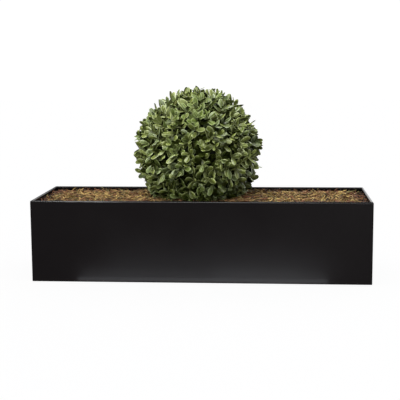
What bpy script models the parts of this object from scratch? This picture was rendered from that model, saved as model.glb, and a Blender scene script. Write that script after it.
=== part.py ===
"""Artificial box topiary ball in a long sheet-metal trough.

A clipped ball of plastic box leaves stands on a short stem near the middle of a low,
thin-walled trough that is filled level with a bed of dry moss fibre.

Metres, +Z up. The origin is the middle of the trough's flat underside, +X runs along
the trough and -Y is its front.
"""

import math
import random

import bmesh
import bpy
from mathutils import Matrix, Vector, noise

# ---- driving dimensions -------------------------------------------------------------
TROUGH_LENGTH = 0.900
TROUGH_DEPTH = 0.300
TROUGH_HEIGHT = 0.218
SHEET = 0.002                # wall and floor of the trough
LIP_WIDTH = 0.007            # rim folded inward
LIP_RETURN = 0.007           # edge of the lip folded down
RIM_RADIUS = 0.0035          # outside of the rim's bend
CORNER_RADIUS = 0.0015       # upright folds

GAP = 0.0003                 # clearance between neighbours that touch

BED_BELOW_RIM = 0.012
BED_BUMP = 0.0028            # height of the moss's bumps
BED_CELL = 0.025             # spacing of the bed's surface points
BED_FLAT_RADIUS = 0.070      # level patch round the stem
BED_EDGE_FADE = 0.040        # bumps die out toward the walls

PLANT_X = -0.015             # the plant stands a little left of the middle
BALL_TIP_RADIUS = 0.182      # furthest leaf tips
CORE_RADIUS = 0.146
BALL_CENTRE_ABOVE_BED = 0.130
CORE_ABOVE_BED = 0.003

TRUNK_HEIGHT = 0.058
TRUNK_POCKET_RADIUS = 0.026  # room for the trunk in the core
TRUNK_POCKET_HEAD = 0.006    # and above its tip
TRUNK_LEAN = Vector((0.0040, 0.0016, 0.0))  # sideways drift of the tip
TRUNK_TIP_RADIUS = 0.0085
TRUNK_TAPER = 1.25           # foot's radius over the tip's, without the flare
FLARE_RADIUS = 0.020         # foot's radius with it
FLARE_POWER = 5              # how fast the flare dies out upward

SHOOT_COUNT = 88             # spread over a whole sphere, the bed hides the lowest
SHOOT_ROOT_RADIUS = 0.120    # where a shoot starts, inside the core
SHOOT_TIP_RADIUS = 0.153
SHOOT_RADIUS = 0.0021
SHOOT_SPREAD = 0.16          # sideways wander of a shoot's direction
SHOOT_LIFT = 0.010           # low shoots bend outward to end this far over the bed
LEAF_LIFT = 0.004            # and their leaves this far
STEEPEST_LIFT = 0.9          # most that a raised direction climbs for its length
LEAF_LENGTH = 0.034
LEAF_WIDTH = 0.021
LEAF_THICKNESS = 0.0014
LEAF_WIDEST = 0.56           # share of the length from root to widest place
LEAF_SUNK = 0.0035           # root inside the shoot
LEAF_PAIRS = (               # drop below the shoot's tip, spread from its direction
    (0.0105, math.radians(66)),
    (0.0055, math.radians(50)),
    (0.0005, math.radians(30)),
)
SEED = 27

# ---- worked-out places --------------------------------------------------------------
BED_TOP = TROUGH_HEIGHT - BED_BELOW_RIM
TRUNK_FOOT = BED_TOP + GAP
TRUNK_TIP = TRUNK_FOOT + TRUNK_HEIGHT
BALL_CENTRE = Vector((PLANT_X, 0.0, BED_TOP + BALL_CENTRE_ABOVE_BED))
LEAF_FLOOR = BED_TOP + BED_BUMP + GAP
LIP_INNER = TROUGH_DEPTH / 2 - LIP_WIDTH


def clear_scene():
    for thing in list(bpy.data.objects):
        bpy.data.objects.remove(thing, do_unlink=True)


def new_collection(name):
    collection = bpy.data.collections.new(name)
    bpy.context.scene.collection.children.link(collection)
    return collection


def new_material(name, colour, roughness, metallic=0.0):
    material = bpy.data.materials.new(name)
    material.use_nodes = True
    shader = material.node_tree.nodes["Principled BSDF"]
    shader.inputs["Base Color"].default_value = (*colour, 1.0)
    shader.inputs["Roughness"].default_value = roughness
    shader.inputs["Metallic"].default_value = metallic
    return material


def new_object(name, form, collection, material=None):
    """An object from a bmesh, which is used up."""
    mesh = bpy.data.meshes.new(name)
    form.to_mesh(mesh)
    form.free()
    if material:
        mesh.materials.append(material)
    thing = bpy.data.objects.new(name, mesh)
    collection.objects.link(thing)
    return thing


def apply_modifiers(thing):
    """Replaces the object's mesh with its evaluated one."""
    evaluated = thing.evaluated_get(bpy.context.evaluated_depsgraph_get())
    mesh = bpy.data.meshes.new_from_object(evaluated)
    thing.modifiers.clear()
    thing.data = mesh


# ---- trough -------------------------------------------------------------------------
def make_trough(collection):
    """One folded sheet: floor, four walls, an inward lip and its down-turned edge."""
    form = bmesh.new()
    bmesh.ops.create_cube(form, size=1.0)
    bmesh.ops.scale(form, verts=form.verts, vec=(TROUGH_LENGTH, TROUGH_DEPTH, TROUGH_HEIGHT))
    bmesh.ops.translate(form, verts=form.verts, vec=(0.0, 0.0, TROUGH_HEIGHT / 2))
    top = max(form.faces, key=lambda face: face.calc_center_median().z)
    bmesh.ops.delete(form, geom=[top], context="FACES_ONLY")

    weight = form.edges.layers.float.new("bevel_weight_edge")
    rim = [edge for edge in form.edges if edge.is_boundary]
    for edge in form.edges:
        if edge.is_boundary:
            edge[weight] = 1.0
        elif abs(edge.verts[0].co.z - edge.verts[1].co.z) > TROUGH_HEIGHT / 2:
            edge[weight] = CORNER_RADIUS / RIM_RADIUS

    inward = Vector((LIP_WIDTH, LIP_WIDTH, 0.0))
    for move in (inward, Vector((0.0, 0.0, LIP_RETURN))):
        grown = bmesh.ops.extrude_edge_only(form, edges=rim)["geom"]
        for vert in (item for item in grown if isinstance(item, bmesh.types.BMVert)):
            vert.co.x -= math.copysign(move.x, vert.co.x)
            vert.co.y -= math.copysign(move.y, vert.co.y)
            vert.co.z -= move.z
        rim = [item for item in grown if isinstance(item, bmesh.types.BMEdge) and item.is_boundary]
    bmesh.ops.recalc_face_normals(form, faces=form.faces)
    floor = min(form.faces, key=lambda face: face.calc_center_median().z)
    if floor.normal.z > 0:
        bmesh.ops.reverse_faces(form, faces=form.faces)

    black = new_material("black_powder_coat", (0.012, 0.012, 0.013), 0.42)
    trough = new_object("trough", form, collection, black)
    bend = trough.modifiers.new("folds", "BEVEL")
    bend.limit_method = "WEIGHT"
    bend.width = RIM_RADIUS
    bend.segments = 4
    sheet = trough.modifiers.new("sheet", "SOLIDIFY")
    sheet.thickness = SHEET
    sheet.offset = -1.0
    sheet.use_even_offset = True
    return trough


# ---- moss bed -----------------------------------------------------------------------
def smooth_step(value):
    value = min(max(value, 0.0), 1.0)
    return value * value * (3.0 - 2.0 * value)


def bed_height(x, y):
    """Height of the moss: bumpy, but level round the stem and along the walls."""
    to_wall = min(TROUGH_LENGTH / 2 - abs(x), TROUGH_DEPTH / 2 - abs(y))
    at_wall = smooth_step(to_wall / BED_EDGE_FADE - 0.5)
    at_stem = smooth_step((math.hypot(x - PLANT_X, y) - BED_FLAT_RADIUS) / BED_EDGE_FADE)
    bump = noise.noise(Vector((x, y, SEED)) / (2.5 * BED_CELL))
    return BED_TOP + BED_BUMP * bump * at_wall * at_stem


def make_moss_bed(collection):
    """The filling: a block that fits the trough, with a bumpy top under the lip."""
    length = TROUGH_LENGTH - 2 * (SHEET + GAP)
    depth = TROUGH_DEPTH - 2 * (SHEET + GAP)
    form = bmesh.new()
    bmesh.ops.create_grid(
        form, x_segments=round(length / BED_CELL), y_segments=round(depth / BED_CELL), size=0.5
    )
    bmesh.ops.scale(form, verts=form.verts, vec=(length, depth, 1.0))
    border = [edge for edge in form.edges if edge.is_boundary]
    for vert in form.verts:
        vert.co.z = bed_height(vert.co.x, vert.co.y)
    grown = bmesh.ops.extrude_edge_only(form, edges=border)["geom"]
    for vert in (item for item in grown if isinstance(item, bmesh.types.BMVert)):
        vert.co.z = SHEET + GAP
    open_edges = [edge for edge in form.edges if edge.is_boundary]
    bmesh.ops.contextual_create(form, geom=open_edges)
    bmesh.ops.recalc_face_normals(form, faces=form.faces)
    tan = new_material("dry_moss", (0.30, 0.17, 0.07), 0.95)
    return new_object("moss_bed", form, collection, tan)


# ---- trunk --------------------------------------------------------------------------
def make_trunk(collection):
    """The short stem: flared at its foot, leaning a little, its two ends cut level."""
    curve = bpy.data.curves.new("trunk", "CURVE")
    curve.dimensions = "3D"
    curve.bevel_depth = 1.0
    curve.bevel_resolution = 4
    curve.use_fill_caps = True
    rings = 7
    spline = curve.splines.new("POLY")
    spline.points.add(rings - 1)
    for index, point in enumerate(spline.points):
        share = index / (rings - 1)
        place = Vector((PLANT_X, 0.0, TRUNK_FOOT + TRUNK_HEIGHT * share))
        place += TRUNK_LEAN * smooth_step(1.5 * share - 0.25)
        point.co = (*place, 1.0)
        flare = (FLARE_RADIUS - TRUNK_TAPER * TRUNK_TIP_RADIUS) * (1.0 - share) ** FLARE_POWER
        point.radius = TRUNK_TIP_RADIUS * (TRUNK_TAPER + (1.0 - TRUNK_TAPER) * share) + flare
    curve.materials.append(new_material("stem_bark", (0.085, 0.055, 0.035), 0.8))
    trunk = bpy.data.objects.new("trunk", curve)
    collection.objects.link(trunk)
    return trunk


# ---- foliage ball -------------------------------------------------------------------
def sphere_directions(count):
    """Directions spread evenly over a sphere along a spiral."""
    turn = math.pi * (3.0 - math.sqrt(5.0))
    for index in range(count):
        height = 1.0 - 2.0 * (index + 0.5) / count
        ring = math.sqrt(1.0 - height * height)
        yield Vector((ring * math.cos(turn * index), ring * math.sin(turn * index), height))


def leaf_mesh():
    """A flat diamond of eight faces, root at the origin and tip at +X."""
    form = bmesh.new()
    bmesh.ops.create_uvsphere(form, u_segments=4, v_segments=2, radius=0.5)
    for vert in form.verts:
        along = vert.co.x + 0.5
        if abs(along - 0.5) < 0.1:
            along = LEAF_WIDEST
        vert.co.x = along * LEAF_LENGTH
        vert.co.y *= LEAF_WIDTH
        vert.co.z *= LEAF_THICKNESS
    mesh = bpy.data.meshes.new("leaf")
    form.to_mesh(mesh)
    form.free()
    return mesh


def placed(root, direction, face, scale=1.0):
    """Matrix that lays +X along the direction with +Z nearest to the face vector."""
    along = direction.normalized()
    across = face.cross(along).normalized()
    upward = along.cross(across)
    turn = Matrix((along, across, upward)).transposed().to_4x4()
    return Matrix.Translation(root) @ turn @ Matrix.Scale(scale, 4)


def leaf_fits(matrix, mesh):
    """True where every corner stays in the ball's space, above the bed and off the lip."""
    for vert in mesh.vertices:
        corner = matrix @ vert.co
        if (corner - BALL_CENTRE).length > BALL_TIP_RADIUS or corner.z < LEAF_FLOOR:
            return False
        if corner.z < TROUGH_HEIGHT + GAP and abs(corner.y) > LIP_INNER - GAP:
            return False
    return True


def kept_over_bed(direction, root, length, lift):
    """The direction, raised where its end would dip into the bed."""
    lowest = (BED_TOP + lift - root.z) / length
    rise = min(max(direction.z, min(lowest, STEEPEST_LIFT)), 1.0)
    level = direction.xy.normalized() * math.sqrt(1.0 - rise * rise)
    return Vector((level.x, level.y, rise))


def add_shoot(direction, dice, leaf, collection):
    """One shoot out of the core, with crossed pairs of leaves up to its tip."""
    wander = Vector([dice.uniform(-1.0, 1.0) for _ in range(3)]) * SHOOT_SPREAD
    root = BALL_CENTRE + direction * SHOOT_ROOT_RADIUS
    reach = (SHOOT_TIP_RADIUS - SHOOT_ROOT_RADIUS) * dice.uniform(0.93, 1.04)
    heading = kept_over_bed((direction + wander).normalized(), root, reach, SHOOT_LIFT)
    tip = root + heading * reach
    if min(root.z, tip.z) < LEAF_FLOOR + SHOOT_RADIUS:
        return

    form = bmesh.new()
    bmesh.ops.create_cone(
        form, cap_ends=True, segments=3, depth=(tip - root).length,
        radius1=SHOOT_RADIUS, radius2=0.45 * SHOOT_RADIUS,
    )
    shoot = new_object("shoot", form, collection)
    shoot.matrix_world = (
        Matrix.Translation((root + tip) / 2) @ heading.to_track_quat("Z", "X").to_matrix().to_4x4()
    )

    side = heading.orthogonal().normalized()
    side.rotate(Matrix.Rotation(dice.uniform(0.0, math.tau), 3, heading))
    for level, (drop, spread) in enumerate(LEAF_PAIRS):
        for half in range(2):
            angle = (level + 2 * half) * math.pi / 2 + dice.uniform(-0.25, 0.25)
            outward = side.copy()
            outward.rotate(Matrix.Rotation(angle, 3, heading))
            lift = spread + dice.uniform(-0.12, 0.12)
            joint = tip - heading * (drop + LEAF_SUNK * math.cos(lift))
            along = heading * math.cos(lift) + outward * math.sin(lift)
            along = kept_over_bed(along, joint, LEAF_LENGTH, LEAF_LIFT)
            face = heading + side * dice.uniform(-0.35, 0.35)
            matrix = placed(joint, along, face, dice.uniform(0.90, 1.05))
            if leaf_fits(matrix, leaf):
                thing = bpy.data.objects.new("leaf", leaf)
                thing.matrix_world = matrix
                collection.objects.link(thing)


def drop_loose_shells(mesh):
    """Keeps the outer skin: sealed hollows and loose scraps are other shells."""
    form = bmesh.new()
    form.from_mesh(mesh)
    bmesh.ops.triangulate(form, faces=form.faces)
    unseen = set(form.faces)
    shells = []
    while unseen:
        shell = [unseen.pop()]
        for face in shell:
            for edge in face.edges:
                for other in edge.link_faces:
                    if other in unseen:
                        unseen.remove(other)
                        shell.append(other)
        shells.append(shell)
    shells.sort(key=len)
    for shell in shells[:-1]:
        bmesh.ops.delete(form, geom=shell, context="FACES")
    form.to_mesh(mesh)
    form.free()


def make_foliage_ball(collection, cutters):
    """Core, stem, shoots and leaves, joined into one closed body."""
    form = bmesh.new()
    bmesh.ops.create_icosphere(form, subdivisions=2, radius=CORE_RADIUS)
    bmesh.ops.translate(form, verts=form.verts, vec=BALL_CENTRE)
    cut = bmesh.ops.bisect_plane(
        form, geom=form.verts[:] + form.edges[:] + form.faces[:],
        plane_co=(0.0, 0.0, BED_TOP + CORE_ABOVE_BED), plane_no=(0.0, 0.0, -1.0), clear_outer=True,
    )["geom_cut"]
    bmesh.ops.contextual_create(form, geom=[item for item in cut if isinstance(item, bmesh.types.BMEdge)])
    bmesh.ops.recalc_face_normals(form, faces=form.faces)
    green = new_material("box_leaf", (0.060, 0.095, 0.022), 0.5)
    ball = new_object("foliage_ball", form, collection, green)

    pocket_height = TRUNK_HEIGHT + TRUNK_POCKET_HEAD
    form = bmesh.new()
    bmesh.ops.create_cone(
        form, cap_ends=True, segments=16, depth=2 * pocket_height,
        radius1=TRUNK_POCKET_RADIUS, radius2=TRUNK_POCKET_RADIUS,
    )
    pocket = new_object("trunk_pocket", form, cutters)
    pocket.location = (PLANT_X, 0.0, TRUNK_FOOT)
    pocket.hide_render = True
    pocket.display_type = "WIRE"
    hollow = ball.modifiers.new("trunk_pocket", "BOOLEAN")
    hollow.operation = "DIFFERENCE"
    hollow.object = pocket

    growth = new_collection("growth")
    form = bmesh.new()
    stem_foot = TRUNK_TIP + GAP
    bmesh.ops.create_cone(
        form, cap_ends=True, segments=12, depth=BALL_CENTRE.z - stem_foot,
        radius1=TRUNK_TIP_RADIUS, radius2=0.7 * TRUNK_TIP_RADIUS,
    )
    stem = new_object("stem", form, growth)
    stem.location = Vector((PLANT_X, 0.0, (BALL_CENTRE.z + stem_foot) / 2)) + TRUNK_LEAN

    dice = random.Random(SEED)
    leaf = leaf_mesh()
    for direction in sphere_directions(SHOOT_COUNT):
        add_shoot(direction, dice, leaf, growth)

    union = ball.modifiers.new("growth", "BOOLEAN")
    union.operation = "UNION"
    union.operand_type = "COLLECTION"
    union.collection = growth
    apply_modifiers(ball)
    drop_loose_shells(ball.data)
    for thing in list(growth.objects):
        bpy.data.objects.remove(thing, do_unlink=True)
    bpy.data.collections.remove(growth)
    bpy.data.objects.remove(pocket, do_unlink=True)
    return ball


def main():
    clear_scene()
    parts = new_collection("box_topiary_ball")
    cutters = new_collection("cutters")
    make_trough(parts)
    make_moss_bed(parts)
    make_trunk(parts)
    make_foliage_ball(parts, cutters)


main()
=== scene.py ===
"""Looks of the artificial box topiary ball in its sheet-metal trough.

Metres, +Z up, origin in the middle of the trough's underside, -Y is the front.
Every leaf, twig and moss fibre grows by a seeded rule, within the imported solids' reach.
"""

import math

import bmesh
import bpy
import numpy as np
from mathutils import Matrix, Vector, noise


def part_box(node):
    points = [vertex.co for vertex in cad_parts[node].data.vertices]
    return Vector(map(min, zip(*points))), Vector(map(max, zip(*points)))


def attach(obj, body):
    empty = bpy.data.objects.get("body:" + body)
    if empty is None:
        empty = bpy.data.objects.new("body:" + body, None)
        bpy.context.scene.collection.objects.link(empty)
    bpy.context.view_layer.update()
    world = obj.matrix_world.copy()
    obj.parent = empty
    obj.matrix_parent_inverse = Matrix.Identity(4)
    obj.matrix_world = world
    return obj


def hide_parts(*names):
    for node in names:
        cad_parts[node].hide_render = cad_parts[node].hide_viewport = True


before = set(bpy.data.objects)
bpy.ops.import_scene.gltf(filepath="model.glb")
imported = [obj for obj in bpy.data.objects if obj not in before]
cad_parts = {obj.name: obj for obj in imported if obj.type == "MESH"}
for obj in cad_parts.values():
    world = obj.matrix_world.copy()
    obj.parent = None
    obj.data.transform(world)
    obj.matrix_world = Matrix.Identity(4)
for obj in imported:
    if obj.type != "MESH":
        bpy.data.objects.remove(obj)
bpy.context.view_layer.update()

# ---- sizes, the trough's and the bed's as in the solids --------------------------------
TROUGH_LOW, TROUGH_HIGH = (np.array(corner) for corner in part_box("trough"))
LENGTH, DEPTH, HEIGHT = TROUGH_HIGH - TROUGH_LOW
SHEET = 0.002
LIP_WIDTH = 0.007
LIP_RETURN = 0.007
RIM_RADIUS = 0.0038
EDGE_RADIUS = 0.0024         # inner edge of the lip
FLOOR_RADIUS = 0.0020        # bottom fold
CORNER_RADIUS = 0.0016

BED_TOP = HEIGHT - 0.012
PLANT_X = -0.015
BALL_CENTRE = np.array((PLANT_X, 0.0, BED_TOP + 0.130))
BALL_TIP_RADIUS = 0.182
CORE_RADIUS = 0.134
CORE_ABOVE_BED = 0.003
TRUNK_LOW, TRUNK_HIGH = (np.array(corner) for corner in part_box("trunk"))
TRUNK_LEAN = np.array((0.0040, 0.0016))
LEAN_PACE = 1.5
LEAN_DELAY = 0.25
TRUNK_TIP_RADIUS = 0.0085
TRUNK_TAPER = 1.25
FLARE_POWER = 5
FLARE_RADIUS = (TRUNK_HIGH[0] - TRUNK_LOW[0]) / 2
POCKET_RADIUS = 0.026
POCKET_HEAD = 0.006
GAP = 0.0003
MOSS_SEED = 27
LEAF_SEED = 35

# ---- camera -----------------------------------------------------------------------------
CAMERA_PLACE = (0.1952, -2.6418, 0.5831)
CAMERA_PITCH = math.radians(8.222)
CAMERA_YAW = math.radians(4.4515)
CAMERA_ROLL = math.radians(-0.360)
SENSOR_WIDTH = 36.0           # millimetres
FOCAL_SHARE = 2.42125         # focal length over the frame's width
FAR_CLIP = 50.0


def add_camera():
    data = bpy.data.cameras.new("camera")
    data.sensor_fit = "HORIZONTAL"
    data.sensor_width = SENSOR_WIDTH
    data.lens = FOCAL_SHARE * data.sensor_width
    data.clip_end = FAR_CLIP
    camera = bpy.data.objects.new("camera", data)
    bpy.context.scene.collection.objects.link(camera)
    turn = (
        Matrix.Rotation(CAMERA_YAW, 4, "Z")
        @ Matrix.Rotation(math.pi / 2 - CAMERA_PITCH, 4, "X")
        @ Matrix.Rotation(CAMERA_ROLL, 4, "Z")
    )
    camera.matrix_world = Matrix.Translation(CAMERA_PLACE) @ turn
    bpy.context.scene.camera = camera


# ---- material helpers -------------------------------------------------------------------
def srgb(red, green, blue):
    """Linear colour from 0-255 display values."""
    parts = [value / 255.0 for value in (red, green, blue)]
    return [p / 12.92 if p <= 0.04045 else ((p + 0.055) / 1.055) ** 2.4 for p in parts] + [1.0]


def new_material(name, colour, roughness, specular):
    material = bpy.data.materials.new(name)
    material.use_nodes = True
    shader = material.node_tree.nodes["Principled BSDF"]
    shader.inputs["Base Color"].default_value = colour
    shader.inputs["Roughness"].default_value = roughness
    shader.inputs["Specular IOR Level"].default_value = specular
    return material, material.node_tree, shader


def add_noise(tree, scale, detail, distortion=0.0):
    """A noise texture in the part's own metres."""
    place = tree.nodes.new("ShaderNodeTexCoord")
    texture = tree.nodes.new("ShaderNodeTexNoise")
    texture.inputs["Scale"].default_value = scale
    texture.inputs["Detail"].default_value = detail
    texture.inputs["Distortion"].default_value = distortion
    tree.links.new(place.outputs["Object"], texture.inputs["Vector"])
    return texture.outputs["Fac"]


def add_range(tree, value, low, high, from_low=0.3, from_high=0.7):
    """Maps a value, by default the middle of a noise's range, to one from low to high."""
    node = tree.nodes.new("ShaderNodeMapRange")
    node.inputs["From Min"].default_value = from_low
    node.inputs["From Max"].default_value = from_high
    node.inputs["To Min"].default_value = low
    node.inputs["To Max"].default_value = high
    tree.links.new(value, node.inputs["Value"])
    return node.outputs["Result"]


def add_ramp(tree, value, stops):
    """A colour ramp through (position, colour) stops."""
    node = tree.nodes.new("ShaderNodeValToRGB")
    ramp = node.color_ramp
    while len(ramp.elements) < len(stops):
        ramp.elements.new(0.5)
    for element, (position, colour) in zip(ramp.elements, stops):
        element.position = position
        element.color = colour
    tree.links.new(value, node.inputs["Fac"])
    return node.outputs["Color"]


def add_bump(tree, shader, value, distance):
    bump = tree.nodes.new("ShaderNodeBump")
    bump.inputs["Distance"].default_value = distance
    tree.links.new(value, bump.inputs["Height"])
    tree.links.new(bump.outputs["Normal"], shader.inputs["Normal"])


# ---- mesh helpers -----------------------------------------------------------------------
def new_piece(name, points, faces, materials, node, tones=None):
    """A smooth piece from arrays of points and quads, riding on the root in place of a node."""
    mesh = bpy.data.meshes.new(name)
    faces = np.asarray(faces, dtype=np.int32)
    mesh.vertices.add(len(points))
    mesh.vertices.foreach_set("co", np.asarray(points, dtype=np.float32).ravel())
    corners = faces.shape[1]
    mesh.loops.add(faces.size)
    mesh.loops.foreach_set("vertex_index", faces.ravel())
    mesh.polygons.add(len(faces))
    mesh.polygons.foreach_set("loop_start", np.arange(0, faces.size, corners, dtype=np.int32))
    mesh.polygons.foreach_set("use_smooth", np.full(len(faces), True))
    for material in materials:
        mesh.materials.append(material)
    if tones is not None:
        mesh.polygons.foreach_set("material_index", np.asarray(tones, dtype=np.int32))
    mesh.update(calc_edges=True)
    mesh.validate()
    piece = bpy.data.objects.new(name, mesh)
    bpy.context.scene.collection.objects.link(piece)
    bpy.data.collections["lit_by_lamps"].objects.link(piece)
    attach(piece, "root")
    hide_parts(node)
    return piece


def close_ends(piece, per_ring, smooth=False):
    """Fills the first and the last ring of a piece that is built from rings."""
    form = bmesh.new()
    form.from_mesh(piece.data)
    form.verts.ensure_lookup_table()
    for first in (0, len(form.verts) - per_ring):
        form.faces.new([form.verts[first + step] for step in range(per_ring)]).smooth = smooth
    bmesh.ops.recalc_face_normals(form, faces=form.faces)
    form.to_mesh(piece.data)
    form.free()


def grid_faces(rows, columns, closed=False):
    """Quads between rows of points; closed joins each row's last point to its first."""
    across = columns if closed else columns - 1
    row, column = np.meshgrid(np.arange(rows - 1), np.arange(across), indexing="ij")
    right = (column + 1) % columns
    return np.stack(
        (row * columns + column, row * columns + right,
         (row + 1) * columns + right, (row + 1) * columns + column), axis=-1
    ).reshape(-1, 4)


def grid_border(rows, columns):
    """A grid's outermost points, in order round it."""
    low = list(range(columns))
    right = [row * columns + columns - 1 for row in range(1, rows)]
    high = [(rows - 1) * columns + column for column in range(columns - 2, -1, -1)]
    left = [row * columns for row in range(rows - 2, 0, -1)]
    return low + right + high + left


def repeat_faces(faces, points_each, count):
    """The same faces for each of several copies that hold so many points each."""
    steps = (np.arange(count) * points_each)[:, None, None]
    return (faces[None] + steps).reshape(-1, faces.shape[1])


def unit(vectors):
    return vectors / np.maximum(np.linalg.norm(vectors, axis=-1, keepdims=True), 1e-9)


def smooth_step(value):
    value = np.clip(value, 0.0, 1.0)
    return value * value * (3.0 - 2.0 * value)


# ---- stage ------------------------------------------------------------------------------
def add_lamp(name, place, target, size, power, colour=(1.0, 1.0, 1.0)):
    data = bpy.data.lights.new(name, "AREA")
    data.shape = "RECTANGLE"
    data.size, data.size_y = size
    data.energy = power
    data.color = colour
    lamp = bpy.data.objects.new(name, data)
    lamp.location = place
    lamp.rotation_euler = (Vector(target) - Vector(place)).to_track_quat("-Z", "Y").to_euler()
    bpy.context.scene.collection.objects.link(lamp)
    return lamp


def light_only(lamp, collection):
    """Lets a lamp light nothing but what the collection holds."""
    lamp.light_linking.receiver_collection = collection


FLOOR_SIZE = 24.0
FLOOR_GREY = (0.30, 0.30, 0.30, 1.0)
FLOOR_GLOW = 0.93             # keeps the floor's white even out to the horizon
ROOM_PALE = (1.0, 1.0, 1.0, 1.0)
ROOM_DIM = (0.20, 0.20, 0.21, 1.0)
ROOM_DARK = (0.02, 0.02, 0.02, 1.0)
RIGHT_WALL = ((0.0, ROOM_PALE), (0.12, ROOM_PALE), (0.34, ROOM_DIM))      # colours by height
LEFT_WALL = ((0.0, ROOM_PALE), (0.068, ROOM_PALE), (0.080, ROOM_DARK), (0.34, ROOM_DIM))
WALLS_MEET = (-0.20, -0.08)   # where the left wall's colours give way to the right's
ROOM_POWER = 1.04
LAMPS = (                     # place, target, size and watts of the lamps for plant and moss
    ("top_lamp", (-0.25, -0.75, 2.0), (-0.02, 0.0, 0.25), (1.20, 0.90), 65.0),
    ("front_lamp", (-0.8, -2.4, 1.2), (0.0, 0.0, 0.3), (1.6, 1.2), 44.0),
    ("back_lamp", (0.7, 2.3, 1.1), (0.0, 0.0, 0.3), (1.8, 1.2), 42.0),
    ("end_lamp", (2.4, 0.5, 1.1), (0.0, 0.0, 0.3), (1.6, 1.2), 12.0),
)


def make_floor():
    bpy.ops.mesh.primitive_plane_add(size=FLOOR_SIZE, location=(0.0, 0.0, 0.0))
    floor = bpy.context.object
    floor.name = "floor"
    white, _, shader = new_material("floor_white", FLOOR_GREY, roughness=0.9, specular=0.0)
    shader.inputs["Emission Color"].default_value = (1.0, 1.0, 1.0, 1.0)
    shader.inputs["Emission Strength"].default_value = FLOOR_GLOW
    floor.data.materials.append(white)


def make_room():
    """A world that is pale at eye level and darker overhead."""
    world = bpy.data.worlds.new("room")
    bpy.context.scene.world = world
    world.use_nodes = True
    tree = world.node_tree
    place = tree.nodes.new("ShaderNodeTexCoord")
    split = tree.nodes.new("ShaderNodeSeparateXYZ")
    tree.links.new(place.outputs["Generated"], split.inputs["Vector"])
    right = add_ramp(tree, split.outputs["Z"], RIGHT_WALL)
    left = add_ramp(tree, split.outputs["Z"], LEFT_WALL)
    side = add_range(tree, split.outputs["X"], 0.0, 1.0, *WALLS_MEET)
    mix = tree.nodes.new("ShaderNodeMix")
    mix.data_type = "RGBA"
    tree.links.new(side, mix.inputs["Factor"])
    tree.links.new(left, mix.inputs["A"])
    tree.links.new(right, mix.inputs["B"])
    background = tree.nodes["Background"]
    tree.links.new(mix.outputs["Result"], background.inputs["Color"])
    background.inputs["Strength"].default_value = ROOM_POWER


def make_lamps():
    lit = bpy.data.collections.new("lit_by_lamps")
    for lamp in LAMPS:
        light_only(add_lamp(*lamp), lit)


# ---- trough -----------------------------------------------------------------------------
CORNER_STEPS = 5
LEAST_RADIUS = 0.0004         # of a corner far inside the sheet
BEND_HOLD = 0.0012            # extra loop beside each bend, so that flat faces shade flat
CAP_INSET = 0.05              # the flat middle of the floor begins here
LIP_BEND = 0.001              # small bevels of the folded lip
WALL_BEND = 0.0015            # and of the wall's inside, where it meets the lip
LIP_DIP = 0.0002              # the cut edge under the lip is a little round
SAME = 0.0001                 # heights nearer than this are taken as one


def rounded_ring(inset, z, radius):
    """Points of a rounded rectangle, inset from the trough's outside."""
    half_x = LENGTH / 2 - inset
    half_y = DEPTH / 2 - inset
    points = []
    for corner in range(4):
        sign_x = 1 if corner in (0, 3) else -1
        sign_y = 1 if corner in (0, 1) else -1
        for step in range(CORNER_STEPS + 1):
            angle = math.pi / 2 * (corner + step / CORNER_STEPS)
            points.append((
                sign_x * (half_x - radius) + radius * math.cos(angle),
                sign_y * (half_y - radius) + radius * math.sin(angle),
                z,
            ))
    return points


def arc(centre, radius, start, end, steps):
    """Profile points on an arc, angles in degrees from +inset toward +z."""
    angles = np.radians(np.linspace(start, end, steps + 1))
    return [(centre[0] + radius * math.cos(angle), centre[1] + radius * math.sin(angle))
            for angle in angles]


def trough_profile():
    """(inset, z) round the folded sheet, from under the floor to its inside."""
    floor, rim, edge = FLOOR_RADIUS, RIM_RADIUS, EDGE_RADIUS
    lip_low = HEIGHT - LIP_RETURN
    lip_inside = LIP_WIDTH - SHEET
    ceiling = HEIGHT - SHEET
    profile = [(CAP_INSET, 0.0), (floor + BEND_HOLD, 0.0)]
    profile += arc((floor, floor), floor, 270, 180, steps=4)
    profile += [(0.0, floor + BEND_HOLD), (0.0, HEIGHT - rim - BEND_HOLD)]
    profile += arc((rim, HEIGHT - rim), rim, 180, 90, steps=8)
    profile += arc((LIP_WIDTH - edge, HEIGHT - edge), edge, 90, 0, steps=6)
    profile += [(LIP_WIDTH, lip_low), (LIP_WIDTH - SHEET / 2, lip_low - LIP_DIP)]
    profile += [(lip_inside, lip_low), (lip_inside, ceiling - LIP_BEND)]
    profile += [(lip_inside - LIP_BEND, ceiling), (SHEET + WALL_BEND, ceiling)]
    profile += [(SHEET, ceiling - WALL_BEND), (SHEET, SHEET), (CAP_INSET, SHEET)]
    return profile


COAT_CLOUDS = 7.0             # pitch of the cloudiness, and of the orange peel
COAT_PEEL = 700.0
COAT_PEEL_DEPTH = 0.00006
COAT_COLOURS = ((0.35, srgb(9, 6, 7)), (0.70, srgb(12, 9, 10)))
FACE_COAT = (0.36, 0.47, 0.07)       # least and most roughness, specular level
RIM_COAT = (0.10, 0.14, 0.40)
SHARP_FOLD = math.radians(40)
FACE_LAMPS = (                # place, target, size and watts of the lamps for the trough alone
    ("rim_lamp", (-1.10, -0.45, 2.0), (-0.45, -0.15, 0.22), (0.4, 0.8), 10.0),
    ("face_lamp", (-0.21, -2.3, 1.9), (-0.21, 0.0, 0.1), (1.9, 0.6), 38.0),
    ("side_lamp", (-1.12, -2.3, 1.9), (-0.45, 0.0, 0.1), (0.45, 0.6), 24.0),
    ("end_glow", (0.75, -1.6, 0.12), (0.45, -0.15, 0.12), (0.3, 0.2), 1.8),
)
GLOW_COLOUR = (0.873, 0.961, 1.0)
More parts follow.
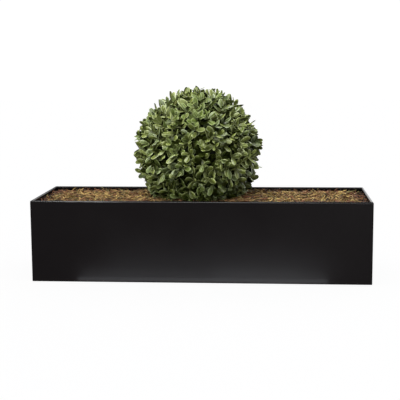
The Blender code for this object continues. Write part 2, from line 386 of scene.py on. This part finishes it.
GLOWS = (                     # middle, distance from the front face, height, size and watts
    ("near_glow", 0.003, 0.012, 0.0055, (0.667, 0.009), 0.109),
    ("mid_glow", 0.003, 0.052, 0.0105, (0.667, 0.019), 0.195),
    ("wide_glow", 0.037, 0.170, 0.009, (0.646, 0.040), 0.48),
    ("right_glow", 0.150, 0.080, 0.009, (0.24, 0.020), 0.071),
)


def trough_material(name, smooth, rough, specular):
    """Satin black powder coat: fine orange peel and faint cloudiness."""
    material, tree, shader = new_material(name, srgb(9, 7, 8), smooth, specular)
    cloud = add_noise(tree, COAT_CLOUDS, detail=4.0)
    tree.links.new(add_range(tree, cloud, smooth, rough), shader.inputs["Roughness"])
    tree.links.new(add_ramp(tree, cloud, COAT_COLOURS), shader.inputs["Base Color"])
    add_bump(tree, shader, add_noise(tree, COAT_PEEL, detail=2.0), COAT_PEEL_DEPTH)
    return material


def light_trough(trough):
    """The floor's light, lamps for the satin face and the glow along its foot."""
    trough_alone = bpy.data.collections.new("lit_by_glow")
    trough_alone.objects.link(trough)
    bpy.data.collections["lit_by_lamps"].objects.unlink(trough)
    light_only(bpy.data.objects["floor"], trough_alone)
    front = TROUGH_LOW[1]
    lamps = [add_lamp(*lamp) for lamp in FACE_LAMPS]
    lamps += [
        add_lamp(name, (x, front - away, z), (x, 0.0, z), size, power, GLOW_COLOUR)
        for name, x, away, z, size, power in GLOWS
    ]
    for lamp in lamps:
        lamp.visible_camera = False
        light_only(lamp, trough_alone)


def make_trough():
    profile = trough_profile()
    rings = []
    for inset, z in profile:
        rings += rounded_ring(inset, z, max(CORNER_RADIUS - inset, LEAST_RADIUS))
    per_ring = len(rings) // len(profile)
    faces = grid_faces(len(profile), per_ring, closed=True)
    heights = np.array([z for _, z in profile])
    on_rim = np.minimum(heights[:-1], heights[1:]) > HEIGHT - RIM_RADIUS - SAME
    coats = [trough_material("trough_coat", *FACE_COAT), trough_material("rim_coat", *RIM_COAT)]
    piece = new_piece("trough_folded", rings, faces, coats, "trough",
                      tones=np.repeat(on_rim.astype(int), per_ring))
    close_ends(piece, per_ring, smooth=True)
    piece.data.set_sharp_from_angle(angle=SHARP_FOLD)
    light_trough(piece)


# ---- moss -------------------------------------------------------------------------------
MOSS_LAYERS = (               # strands, half width, step between knots, curl, arch, standing ends
    ("moss_fibres", 8000, (0.00035, 0.00080), (0.0035, 0.0075), 0.38, 0.0045, 0.010),
    ("moss_curls", 2600, (0.00060, 0.00120), (0.0030, 0.0065), 0.75, 0.0080, 0.020),
)
MOSS_TONES = (                # share of the strands and display colour
    ("gold", 0.20, (174, 147, 88)),
    ("tan", 0.22, (138, 111, 70)),
    ("sage", 0.12, (106, 98, 58)),
    ("rust", 0.24, (108, 69, 46)),
    ("umber", 0.22, (50, 38, 27)),
)
STAND_POWER = 2               # the higher, the fewer ends that stand up
MOUND_HEIGHT = 0.005          # moss heaped round the foot of the ball
MOUND_RADIUS = 0.155
MOUND_WIDTH = 0.055
MAT_BELOW_BED = 0.0040
MAT_SINK = (0.0050, 0.045)    # depth along the walls, and over what width
MAT_ROLL = (0.0026, 22.0, 60.0)      # height of the bumps, and their two pitches
MAT_GRAIN = (0.0012, 260.0)
MAT_GRID = (226, 76)
MAT_INSET = SHEET + 0.0005
MAT_FOOT = SHEET + GAP
STRAND_INSET = SHEET + 0.0015
MAT_COLOURS = ((0.36, srgb(30, 21, 14)), (0.52, srgb(84, 62, 38)), (0.70, srgb(130, 103, 62)))
STRAND_KNOTS = 9
STRAND_OVER_MAT = 0.0028
STRAND_DEPTHS = (-0.003, 0.0035)     # how far a strand lies under or over the others
STRAND_SAG = -0.001           # the least arch
STRAND_END = 0.35             # share of the width at the ends
STRAND_BEND = 0.22            # random turn at each knot
STRAND_TWIST = 2.2
UNDER_LIP = (0.0032, 0.010, 0.006)   # most height at the lip, rise away from it, over what width
WALL_SHADE_PAINT = (0.55, 0.050)     # painted shade: how much darker the strands along the walls are dealt, for the walls' shadow, over what width


def moss_materials():
    """One plain coat for each tone of fibre, made once."""
    coats = []
    for tone, _, colour in MOSS_TONES:
        name = "moss_" + tone
        coats.append(bpy.data.materials.get(name)
                     or new_material(name, srgb(*colour), roughness=0.75, specular=0.25)[0])
    return coats


def bed_height(x, y):
    """Low rolling height of the fibres' base."""
    height, wide, fine = MAT_ROLL
    roll = noise.noise(Vector((x, y, 3.0)) * wide) + 0.5 * noise.noise(Vector((x, y, 9.0)) * fine)
    to_wall = min(LENGTH / 2 - abs(x), DEPTH / 2 - abs(y))
    depth, width = MAT_SINK
    sunk = depth * (1.0 - smooth_step((to_wall - LIP_WIDTH) / width))
    off_ring = (math.hypot(x - PLANT_X, y) - MOUND_RADIUS) / MOUND_WIDTH
    mound = MOUND_HEIGHT * math.exp(-off_ring * off_ring)
    return BED_TOP - MAT_BELOW_BED - sunk + mound + height * roll


def make_moss_base():
    """The dark matted underside of the moss, down to the trough's floor."""
    columns, rows = MAT_GRID
    grain, pitch = MAT_GRAIN
    xs = np.linspace(-LENGTH / 2 + MAT_INSET, LENGTH / 2 - MAT_INSET, columns)
    ys = np.linspace(-DEPTH / 2 + MAT_INSET, DEPTH / 2 - MAT_INSET, rows)
    points = [(x, y, bed_height(x, y) + grain * noise.noise(Vector((x, y, 5.0)) * pitch))
              for y in ys for x in xs]
    material, tree, shader = new_material(
        "moss_mat", srgb(88, 60, 36), roughness=0.95, specular=0.15)
    fibres = add_noise(tree, scale=320.0, detail=6.0, distortion=1.5)
    tree.links.new(add_ramp(tree, fibres, MAT_COLOURS), shader.inputs["Base Color"])
    add_bump(tree, shader, fibres, distance=0.0015)
    base = new_piece("moss_mat", points, grid_faces(rows, columns), [material], "moss_bed")
    form = bmesh.new()
    form.from_mesh(base.data)
    form.verts.ensure_lookup_table()
    border = [form.verts[index] for index in grid_border(rows, columns)]
    foot = [form.verts.new((vert.co.x, vert.co.y, MAT_FOOT)) for vert in border]
    for step in range(len(border)):
        side = (border[step - 1], border[step], foot[step], foot[step - 1])
        form.faces.new(side).smooth = True
    form.faces.new(foot).smooth = True
    bmesh.ops.recalc_face_normals(form, faces=form.faces)
    form.to_mesh(base.data)
    form.free()


def make_moss_strands(name, count, half_width, step_range, curl_spread, arch_high, stand, rng):
    """Curled flat fibres lying over one another, some ends standing up."""
    knots = STRAND_KNOTS
    limit = np.array((LENGTH / 2 - STRAND_INSET, DEPTH / 2 - STRAND_INSET))
    start = rng.uniform(-1.0, 1.0, (count, 2)) * limit
    step = rng.uniform(*step_range, count)
    heading = rng.uniform(0.0, math.tau, count)
    curl = rng.normal(0.0, curl_spread, count)
    places = np.zeros((count, knots, 3))
    here = start.copy()
    for knot in range(knots):
        places[:, knot, :2] = np.clip(here, -limit, limit)
        heading = heading + curl + rng.normal(0.0, STRAND_BEND, count)
        here = here + np.stack((np.cos(heading), np.sin(heading)), axis=1) * step[:, None]
    along = np.linspace(0.0, 1.0, knots)
    arch = np.sin(np.pi * along)[None] * rng.uniform(STRAND_SAG, arch_high, count)[:, None]
    standing = rng.uniform(0.0, 1.0, count) ** STAND_POWER * stand
    end = standing[:, None] * along[None] ** 3
    layer = rng.uniform(*STRAND_DEPTHS, count)
    ground = np.array([bed_height(x, y) for x, y in places[:, :, :2].reshape(-1, 2)])
    ground = ground.reshape(count, knots)
    places[:, :, 2] = ground + STRAND_OVER_MAT + layer[:, None] + arch + end
    to_wall = (limit[None, None] - np.abs(places[:, :, :2])).min(axis=2)
    least, rise, across = UNDER_LIP
    under_lip = BED_TOP + least + rise * smooth_step((to_wall - LIP_WIDTH) / across)
    places[:, :, 2] = np.minimum(places[:, :, 2], under_lip)

    tangent = unit(np.gradient(places, axis=1))
    roll = rng.uniform(0.0, math.tau, count)[:, None]
    roll = roll + along[None] * rng.normal(0.0, STRAND_TWIST, count)[:, None]
    level = unit(np.cross(tangent, np.array((0.0, 0.0, 1.0))))
    lifted = np.cross(level, tangent)
    side = level * np.cos(roll)[..., None] + lifted * np.sin(roll)[..., None]
    taper = STRAND_END + (1.0 - STRAND_END) * np.sin(np.pi * along) ** 0.5
    width = rng.uniform(*half_width, count)[:, None] * taper[None]
    offset = side * width[..., None]
    ribbons = np.stack((places - offset, places + offset), axis=2)
    faces = grid_faces(knots, 2)
    shares = np.cumsum([share for _, share, _ in MOSS_TONES])
    # painted shade: strands near the walls are dealt more of the dark tones
    most, across = WALL_SHADE_PAINT
    painted_wall_shade = most * (1.0 - smooth_step((to_wall.mean(axis=1) - LIP_WIDTH) / across))
    tone = np.searchsorted(shares, painted_wall_shade + (1.0 - painted_wall_shade) * rng.uniform(0.0, shares[-1], count))
    new_piece(
        name, ribbons.reshape(-1, 3), repeat_faces(faces, 2 * knots, count), moss_materials(),
        "moss_bed", tones=np.repeat(tone, len(faces)),
    )


# ---- trunk and core ---------------------------------------------------------------------
TRUNK_GRID = (40, 48)         # rings and sides
CORE_GRID = (72, 128)
BARK_COLOURS = ((0.35, srgb(38, 28, 20)), (0.65, srgb(96, 74, 54)))
# near-black plastic, partly painted shade: darkens what shows between the leaves
CORE_SHADE_COLOURS = ((0.35, srgb(7, 9, 4)), (0.68, srgb(22, 27, 14)))
BARK_RIDGES = (0.07, 3.2, 1.6)       # height, pitch round the stem and pitch along it
BARK_KNOBS = (0.03, 7.0, 12.0)
BARK_LEVEL = 0.95             # keeps the ridges within the solid's radius
CORE_BUMPS = ((0.022, 70.0), (0.012, 190.0))     # height and pitch
CORE_FOOT = 0.98              # share of the radius where its underside turns flat
POLE = 0.002                  # angle of its last ring
SHARP_EDGE = math.radians(50)
TINY = 0.0002                 # radius of a ring that closes a flat end


def bark_material():
    material, tree, shader = new_material(
        "stem_bark", srgb(70, 52, 38), roughness=0.85, specular=0.25)
    grain = add_noise(tree, scale=240.0, detail=5.0, distortion=1.0)
    tree.links.new(add_ramp(tree, grain, BARK_COLOURS), shader.inputs["Base Color"])
    add_bump(tree, shader, grain, distance=0.0006)
    return material


def bark_relief(way, share, form):
    height, around, along = form
    return height * noise.noise(Vector((way.x * around, way.y * around, share * along)))


def make_trunk():
    """The short flared stem with ridged bark."""
    rings, sides = TRUNK_GRID
    height = TRUNK_HIGH[2] - TRUNK_LOW[2]
    points = []
    for ring in range(rings):
        share = ring / (rings - 1)
        drift = TRUNK_LEAN * smooth_step(LEAN_PACE * share - LEAN_DELAY)
        flare = (FLARE_RADIUS - TRUNK_TAPER * TRUNK_TIP_RADIUS) * (1.0 - share) ** FLARE_POWER
        radius = TRUNK_TIP_RADIUS * (TRUNK_TAPER + (1.0 - TRUNK_TAPER) * share) + flare
        for side in range(sides):
            angle = math.tau * side / sides
            way = Vector((math.cos(angle), math.sin(angle), 0.0))
            relief = bark_relief(way, share, BARK_RIDGES)
            reach = radius * (BARK_LEVEL + relief + bark_relief(way, share, BARK_KNOBS))
            points.append((PLANT_X + drift[0] + reach * way.x, drift[1] + reach * way.y,
                           TRUNK_LOW[2] + height * share))
    trunk = new_piece("stem_with_bark", points, grid_faces(rings, sides, closed=True),
                      [bark_material()], "trunk")
    close_ends(trunk, sides)
    trunk.data.set_sharp_from_angle(angle=SHARP_EDGE)


def make_core():
    """The rough ball that the sprigs are plugged into, with a peg over the stem; its near-black
    colour is partly painted shade for the gaps among the leaves.
    """
    floor = CORE_ABOVE_BED + BED_TOP - BALL_CENTRE[2]
    ceiling = TRUNK_HIGH[2] + POCKET_HEAD - BALL_CENTRE[2]
    peg_foot = TRUNK_HIGH[2] + GAP - BALL_CENTRE[2]
    low = math.acos(max(floor / CORE_RADIUS, -1.0))
    rings, sides = CORE_GRID
    profile = [(TINY, peg_foot), (TRUNK_TIP_RADIUS, peg_foot), (TRUNK_TIP_RADIUS, ceiling)]
    on_peg = len(profile)
    profile += [(POCKET_RADIUS, ceiling), (POCKET_RADIUS, floor)]
    profile += [(CORE_RADIUS * math.sin(low) * CORE_FOOT, floor)]
    smooth_rings = len(profile)
    profile += [(CORE_RADIUS * math.sin(angle), CORE_RADIUS * math.cos(angle))
                for angle in np.linspace(low, POLE, rings)]
    (coarse, coarse_pitch), (fine, fine_pitch) = CORE_BUMPS
    points = []
    for index, (radius, z) in enumerate(profile):
        for side in range(sides):
            angle = math.tau * side / sides
            way = Vector((radius * math.cos(angle), radius * math.sin(angle), z))
            if index < on_peg:
                way += Vector((*TRUNK_LEAN, 0.0))
            elif index >= smooth_rings:
                bump = coarse * noise.noise(way * coarse_pitch)
                way *= 1.0 + bump + fine * noise.noise(way * fine_pitch)
                way.z = max(way.z, floor)
            points.append(way + Vector(BALL_CENTRE))
    # painted shade in part: the core's plastic is given a near-black colour
    material, tree, shader = new_material(
        "core_plastic", srgb(14, 17, 9), roughness=0.8, specular=0.1)
    mottle = add_noise(tree, scale=90.0, detail=4.0)
    tree.links.new(add_ramp(tree, mottle, CORE_SHADE_COLOURS), shader.inputs["Base Color"])
    add_bump(tree, shader, mottle, distance=0.002)
    core = new_piece("ball_core", points, grid_faces(len(profile), sides, closed=True), [material],
                     "foliage_ball")
    close_ends(core, sides, smooth=True)
    core.data.set_sharp_from_angle(angle=SHARP_EDGE)


# ---- foliage ----------------------------------------------------------------------------
SHOOT_LAYERS = (              # shoots, where they start and end, pairs of leaves, share in painted shade
    (520, 0.122, 0.160, 4, (0.96, 0.60, 0.12, 0.03)),
    (260, 0.112, 0.142, 2, (0.0, 0.0, 0.75, 0.60)),
)
SKIRT_SHOOTS = 56             # more of them round the foot, along the moss
SKIRT_ROOT = (0.088, 0.014)   # from the axis, over the bed
SKIRT_REACH = 0.040
SKIRT_SIZES = (0.75, 1.15)
SKIRT_JITTER = 0.4            # share of the step from one to the next
SKIRT_RISE = 0.45
# painted shade: share of each pair's leaves round the foot dealt the dark shade tone
SKIRT_SHADE = (1.0, 0.85, 0.50, 0.20)
SHOOT_SPREAD = 0.30
SHOOT_CLIMB = 0.22            # how far the upper shoots bend upward
CLIMB_BELOW = 0.4             # share of the radius, under the middle, where they begin to
ROOT_WANDER = 0.2             # share of the spread that also moves their roots
STEEPEST = 0.9
SHOOT_LENGTHS = (0.74, 0.42, 1.5)    # the least, how much more some have, how rare that is
SHOOT_BEND = 0.0035
SKIRT_LIFT = 0.010            # low shoots bend outward to keep this far over the bed
SHOOT_KNOTS = 6
SHOOT_CLEAR = 0.003           # over the bed
TWIG_SIDES = 5
TWIG_RADII = (0.00125, 0.0006)
ASKEW = (0.31, 0.17, 0.93)    # along no twig
LEAF_LENGTH = 0.0283
LEAF_WIDTH = 0.0136
LEAF_WIDEST = 0.60            # share of the length
LEAF_LEAST = 0.07             # share of the width at the root and tip
LEAF_RIB = (0.00022, 0.08)    # height and width
LEAF_THICK = 0.00045
LEAF_STALK = 0.0006
LEAF_CLEAR = 0.001            # over the bed and beside the lip
LEAF_LIFT = 0.004             # low leaves turn up to end this far over the bed
LEAF_SIZES = (0.80, 1.14)
LEAF_FORMS = 9
TURN_SPREAD = 0.30            # random turn round the shoot
LIFT_SPREAD = 0.22            # and away from it
FACE_SPREAD = 0.35            # and about the leaf's own length
LEAF_PAIRS = (                # drop below the tip, spread from the shoot, size
    (0.0290, math.radians(66), 0.98),
    (0.0200, math.radians(60), 1.04),
    (0.0110, math.radians(50), 1.02),
    (0.0025, math.radians(34), 0.90),
)
LEAF_TONES = (                # share of the sprays, blade, edge and rib (a paler margin with a painted highlight), underside
    ("olive", 0.34, (82, 92, 32), (136, 145, 92), (100, 109, 54)),
    ("leafgreen", 0.28, (76, 90, 32), (128, 140, 88), (92, 105, 52)),
    ("greygreen", 0.16, (75, 86, 43), (124, 135, 98), (90, 102, 64)),
    ("fresh", 0.22, (90, 100, 36), (143, 152, 98), (108, 119, 62)),
    # painted shade: the same leaves darkened, for those deep in the ball
    ("shade", 0.0, (24, 31, 4), (50, 60, 20), (29, 37, 9)),
)
SHADE = len(LEAF_TONES) - 1
SHADE_SHEEN = 0.5             # share of the sheen that shaded leaves keep
SHADE_REFLECTION_TINT = (1.0, 1.0, 0.35, 1.0)   # painted reflection: tint of their sheen, for the green all round them
LEAF_ROWS = np.array((0.0, 0.07, 0.20, 0.36, 0.53, 0.70, 0.84, 0.94, 0.99))
LEAF_TOP = np.array((-1.0, -0.74, -0.07, 0.07, 0.74, 1.0))
LEAF_UNDER = np.array((-1.0, -0.74, 0.74, 1.0))
BLADE, EDGE_AND_SHEEN, ROOT_SHADE, UNDER = range(4)
LEAF_COATS = (                # roughness and specular level of each of the four
    ("leaf_", 0.45, 0.50),
    ("edge_and_sheen_", 0.48, 0.42),
    ("root_shade_", 0.45, 0.50),
    ("under_", 0.6, 0.3),
)
LEAF_SHAPES = ((0.06, 0.32), (-0.05, 0.15), (0.10, 0.50), (-0.20, 0.20))     # see leaf_form
ROOT_SHADE_ROWS = 4                 # painted shade: rows of faces in the darker tone, from the leaf's root, for the shade near the stalk
ROOT_SHADE_SHARE = 0.82             # the painted root shade, as a share of the blade's tone
RIBBED_FORMS = 3              # leaf forms that show a pale rib


def leaf_half_width(share):
    """Share of the half width along an egg-shaped leaf, widest past the middle."""
    past = (share - LEAF_WIDEST) / (1.0 - LEAF_WIDEST)
    rising = np.sin(np.pi / 2 * np.clip(share / LEAF_WIDEST, 0.0, 1.0)) ** 0.85
    falling = np.sqrt(np.clip(1.0 - past ** 2, 0.0, 1.0))
    return np.maximum(np.where(share < LEAF_WIDEST, rising, falling), LEAF_LEAST)


def leaf_form(bend, fold, curl, twist, ribbed):
    """Points, faces and tones of one leaf, its root at the origin and its tip at +X."""
    half = leaf_half_width(LEAF_ROWS) * LEAF_WIDTH / 2
    body = np.sqrt(np.abs(np.sin(np.pi * LEAF_ROWS / LEAF_ROWS[-1])))[:, None]
    rib_height, rib_width = LEAF_RIB

    def sheet(columns, sunk):
        u, v = np.meshgrid(LEAF_ROWS, columns, indexing="ij")
        width = half[:, None] * np.ones_like(v)
        x = u * LEAF_LENGTH
        y = v * width
        z = fold * np.abs(v) * width - curl * v ** 2 * width - bend * LEAF_LENGTH * u ** 2
        z = z + body * (rib_height * np.exp(-(v / rib_width) ** 2) - sunk * (1.0 - v ** 2))
        lean = twist * u
        z = z + y * np.sin(lean)
        y = y * np.cos(lean)
        return np.stack((x, y, z), axis=-1).reshape(-1, 3)

    rows = len(LEAF_ROWS)
    top = sheet(LEAF_TOP, 0.0)
    under = sheet(LEAF_UNDER, LEAF_THICK)
    top_faces = grid_faces(rows, len(LEAF_TOP))[:, ::-1]
    under_faces = grid_faces(rows, len(LEAF_UNDER)) + len(top)
    # the edge tone is the leaf's paler margin with a painted highlight; it also takes the root and
    # tip rows, and the rib of ribbed forms
    strips = np.tile((EDGE_AND_SHEEN, BLADE, BLADE, BLADE, EDGE_AND_SHEEN), (rows - 1, 1))
    # painted shade: the blade's rows nearest the root take the darker tone
    strips[:ROOT_SHADE_ROWS, 1:4] = ROOT_SHADE
    strips[0] = EDGE_AND_SHEEN
    strips[-1] = EDGE_AND_SHEEN
    if ribbed:
        strips[:, 2] = EDGE_AND_SHEEN
    under_strips = np.tile((EDGE_AND_SHEEN, UNDER, EDGE_AND_SHEEN), (rows - 1, 1))
    tones = np.concatenate((strips.ravel(), under_strips.ravel()))
    return np.concatenate((top, under)), np.concatenate((top_faces, under_faces)), tones


def sphere_directions(count):
    """Directions spread evenly over a sphere along a spiral."""
    index = np.arange(count)
    height = 1.0 - 2.0 * (index + 0.5) / count
    ring = np.sqrt(1.0 - height * height)
    turn = math.pi * (3.0 - math.sqrt(5.0)) * index
    return np.stack((ring * np.cos(turn), ring * np.sin(turn), height), axis=1)


def in_ball_space(corners):
    """True where all corners keep within the ball's reach, over the bed and off the lip."""
    away = np.linalg.norm(corners - BALL_CENTRE, axis=-1).max(axis=-1)
    low = corners[..., 2].min(axis=-1)
    over_lip = np.abs(corners[..., 1]) > DEPTH / 2 - LIP_WIDTH - LEAF_CLEAR
    on_lip = over_lip & (corners[..., 2] < HEIGHT + LEAF_CLEAR)
    return (away < BALL_TIP_RADIUS) & (low > BED_TOP + LEAF_CLEAR) & ~on_lip.any(axis=-1)


def grow_shoots(count, root_radius, tip_radius, rng):
    """Curved shoot centre lines, shape (count, knots, 3)."""
    directions = sphere_directions(count)
    wander = rng.uniform(-1.0, 1.0, directions.shape) * SHOOT_SPREAD
    climb = SHOOT_CLIMB * np.clip(directions[:, 2] + CLIMB_BELOW, 0.0, 1.0)
    heading = unit(directions + wander + climb[:, None] * np.array((0.0, 0.0, 1.0)))
    directions = unit(directions + ROOT_WANDER * wander)
    root = BALL_CENTRE + directions * root_radius
    least, more, power = SHOOT_LENGTHS
    reach = (tip_radius - root_radius) * (least + more * rng.uniform(0.0, 1.0, count) ** power)
    lowest = (BED_TOP + SKIRT_LIFT - root[:, 2]) / reach
    heading[:, 2] = np.maximum(heading[:, 2], np.clip(lowest, -1.0, STEEPEST))
    level = np.sqrt(1.0 - heading[:, 2] ** 2)
    heading[:, :2] = unit(heading[:, :2]) * level[:, None]
    return bent_lines(root, root + heading * reach[:, None], rng)


def grow_skirt(rng):
    """Shoots that reach outward just over the moss, all round the foot of the ball."""
    count = SKIRT_SHOOTS
    turn = (np.arange(count) + rng.uniform(-SKIRT_JITTER, SKIRT_JITTER, count)) * math.tau / count
    rise = rng.uniform(0.0, SKIRT_RISE, count)
    outward = np.stack((np.cos(turn), np.sin(turn), rise), axis=1)
    away, over = SKIRT_ROOT
    root = np.array((PLANT_X, 0.0, BED_TOP + over)) + outward * (away, away, 0.0)
    reach = SKIRT_REACH * rng.uniform(*SKIRT_SIZES, count)
    return bent_lines(root, root + unit(outward) * reach[:, None], rng)


def bent_lines(root, tip, rng):
    """Knots of slightly bent lines between the two ends, without those that dip into the bed."""
    middle = (root + tip) / 2 + rng.normal(0.0, SHOOT_BEND, tip.shape)
    share = np.linspace(0.0, 1.0, SHOOT_KNOTS)[None, :, None]
    curve = (1 - share) ** 2 * root[:, None] + 2 * share * (1 - share) * middle[:, None]
    curve = curve + share ** 2 * tip[:, None]
    return curve[curve[:, :, 2].min(axis=1) > BED_TOP + SHOOT_CLEAR]


def make_twigs(curves):
    """The shoots' own stalks, thin and tapering."""
    sides = TWIG_SIDES
    tangent = unit(np.gradient(curves, axis=1))
    side = unit(np.cross(tangent, np.array(ASKEW)))
    other = np.cross(tangent, side)
    angle = (np.arange(sides) * math.tau / sides)[None, None, :, None]
    radius = np.linspace(*TWIG_RADII, SHOOT_KNOTS)[None, :, None, None]
    round_shoot = np.cos(angle) * side[:, :, None] + np.sin(angle) * other[:, :, None]
    points = curves[:, :, None] + radius * round_shoot
    tube = grid_faces(SHOOT_KNOTS, sides, closed=True)
    faces = repeat_faces(tube, SHOOT_KNOTS * sides, len(curves))
    material = new_material("twig_plastic", srgb(84, 84, 46), roughness=0.6, specular=0.4)[0]
    new_piece("twigs", points.reshape(-1, 3), faces, [material], "foliage_ball")


def place_leaves(curves, pairs, shade_shares, rng):
    """Each leaf's root, three axes and size, with the tone of its shoot or the painted shade's."""
    shares = np.cumsum([tone[1] for tone in LEAF_TONES])
    shoot_tone = np.searchsorted(shares, rng.uniform(0.0, shares[-1], len(curves)))
    roots, axes, sizes, leaf_tones = [], [], [], []
    heading = unit(curves[:, -1] - curves[:, -3])
    length = np.linalg.norm(np.diff(curves, axis=1), axis=2).sum(axis=1)
    side = unit(np.cross(heading, rng.normal(0.0, 1.0, heading.shape)))
    other = np.cross(heading, side)
    count = len(curves)
    for level in range(len(LEAF_PAIRS) - pairs, len(LEAF_PAIRS)):
        drop, spread, size = LEAF_PAIRS[level]
        back = np.clip(drop / length, 0.0, 1.0)
        place = (1.0 - back) * (SHOOT_KNOTS - 1)
        before = np.minimum(place.astype(int), SHOOT_KNOTS - 2)
        blend = (place - before)[:, None]
        rows = np.arange(count)
        joint = curves[rows, before] * (1 - blend) + curves[rows, before + 1] * blend
        for half in range(2):
            angle = (level + 2 * half) * math.pi / 2 + rng.normal(0.0, TURN_SPREAD, count)
            lift = spread + rng.normal(0.0, LIFT_SPREAD, count)
            outward = side * np.cos(angle)[:, None] + other * np.sin(angle)[:, None]
            along = unit(heading * np.cos(lift)[:, None] + outward * np.sin(lift)[:, None])
            down = BED_TOP + LEAF_LIFT - joint[:, 2]
            along[:, 2] = np.maximum(along[:, 2], np.minimum(down / LEAF_LENGTH, 0.5))
            along = unit(along)
            face = heading + FACE_SPREAD * rng.normal(0.0, 1.0, heading.shape)
            across = unit(np.cross(face, along))
            upward = np.cross(along, across)
            roots.append(joint + along * LEAF_STALK)
            axes.append(np.stack((along, across, upward), axis=-1))
            sizes.append(size * rng.uniform(*LEAF_SIZES, count))
            # painted shade: a pair's share of leaves are dealt the dark shade tone in place of
            # their own
            shaded = rng.uniform(0.0, 1.0, count) < shade_shares[level]
            leaf_tones.append(np.where(shaded, SHADE, shoot_tone))
    return [np.concatenate(part) for part in (roots, axes, sizes, leaf_tones)]


def leaf_materials(index):
    """The four plain coats of one tone: blade, pale edge with painted highlight, root darkened with
    painted shade, and underside.
    """
    name, _, blade, edge, under = LEAF_TONES[index]
    # painted shade at the leaf's root: the blade's colour darkened
    root_shade = [ROOT_SHADE_SHARE * part for part in blade]
    sheen = SHADE_SHEEN if index == SHADE else 1.0
    materials = [
        new_material(coat + name, srgb(*colour), roughness, specular * sheen)[0]
        for (coat, roughness, specular), colour in zip(LEAF_COATS, (blade, edge, root_shade, under))
    ]
    # painted reflection: the shaded leaves' sheen is tinted green
    if index == SHADE:
        for material in materials:
            shader = material.node_tree.nodes["Principled BSDF"]
            shader.inputs["Specular Tint"].default_value = SHADE_REFLECTION_TINT
    return materials


def make_leaves(placed_layers, rng):
    """One piece for each tone, but a left and a right one for the many leaves in painted shade."""
    forms = [
        leaf_form(*[rng.uniform(*span) for span in LEAF_SHAPES], number < RIBBED_FORMS)
        for number in range(LEAF_FORMS)
    ]
    roots, axes, sizes, leaf_tone = (np.concatenate(part) for part in zip(*placed_layers))
    kinds = rng.integers(0, len(forms), len(roots))

    on_right = roots[:, 0] > PLANT_X
    for index, (name, *_) in enumerate(LEAF_TONES):
        materials = leaf_materials(index)
        of_tone = leaf_tone == index
        halves = (("_left", ~on_right), ("_right", on_right)) if index == SHADE else (("", True),)
        for half_name, in_half in halves:
            points, faces, tones, used = [], [], [], 0
            for kind, (form, form_faces, form_tones) in enumerate(forms):
                chosen = of_tone & in_half & (kinds == kind)
                placed = np.einsum("nij,kj->nki", axes[chosen] * sizes[chosen][:, None, None], form)
                placed = placed + roots[chosen][:, None]
                placed = placed[in_ball_space(placed)]
                points.append(placed.reshape(-1, 3))
                faces.append(repeat_faces(form_faces, len(form), len(placed)) + used)
                tones.append(np.tile(form_tones, len(placed)))
                used += placed.shape[0] * placed.shape[1]
            new_piece("leaves_" + name + half_name, np.concatenate(points), np.concatenate(faces),
                      materials, "foliage_ball", tones=np.concatenate(tones))


def main():
    bpy.context.scene.view_settings.view_transform = "Standard"
    add_camera()
    make_floor()
    make_room()
    make_lamps()
    make_trough()
    make_moss_base()
    rng = np.random.default_rng(MOSS_SEED)
    for layer in MOSS_LAYERS:
        make_moss_strands(*layer, rng)
    make_trunk()
    make_core()
    rng = np.random.default_rng(LEAF_SEED)
    grown, leafed = [], []
    for count, root_radius, tip_radius, pairs, shade_shares in SHOOT_LAYERS:
        curves = grow_shoots(count, root_radius, tip_radius, rng)
        grown.append(curves)
        leafed.append(place_leaves(curves, pairs, shade_shares, rng))
    curves = grow_skirt(rng)
    grown.append(curves)
    leafed.append(place_leaves(curves, len(LEAF_PAIRS), SKIRT_SHADE, rng))
    make_twigs(np.concatenate(grown))
    make_leaves(leafed, rng)


main()
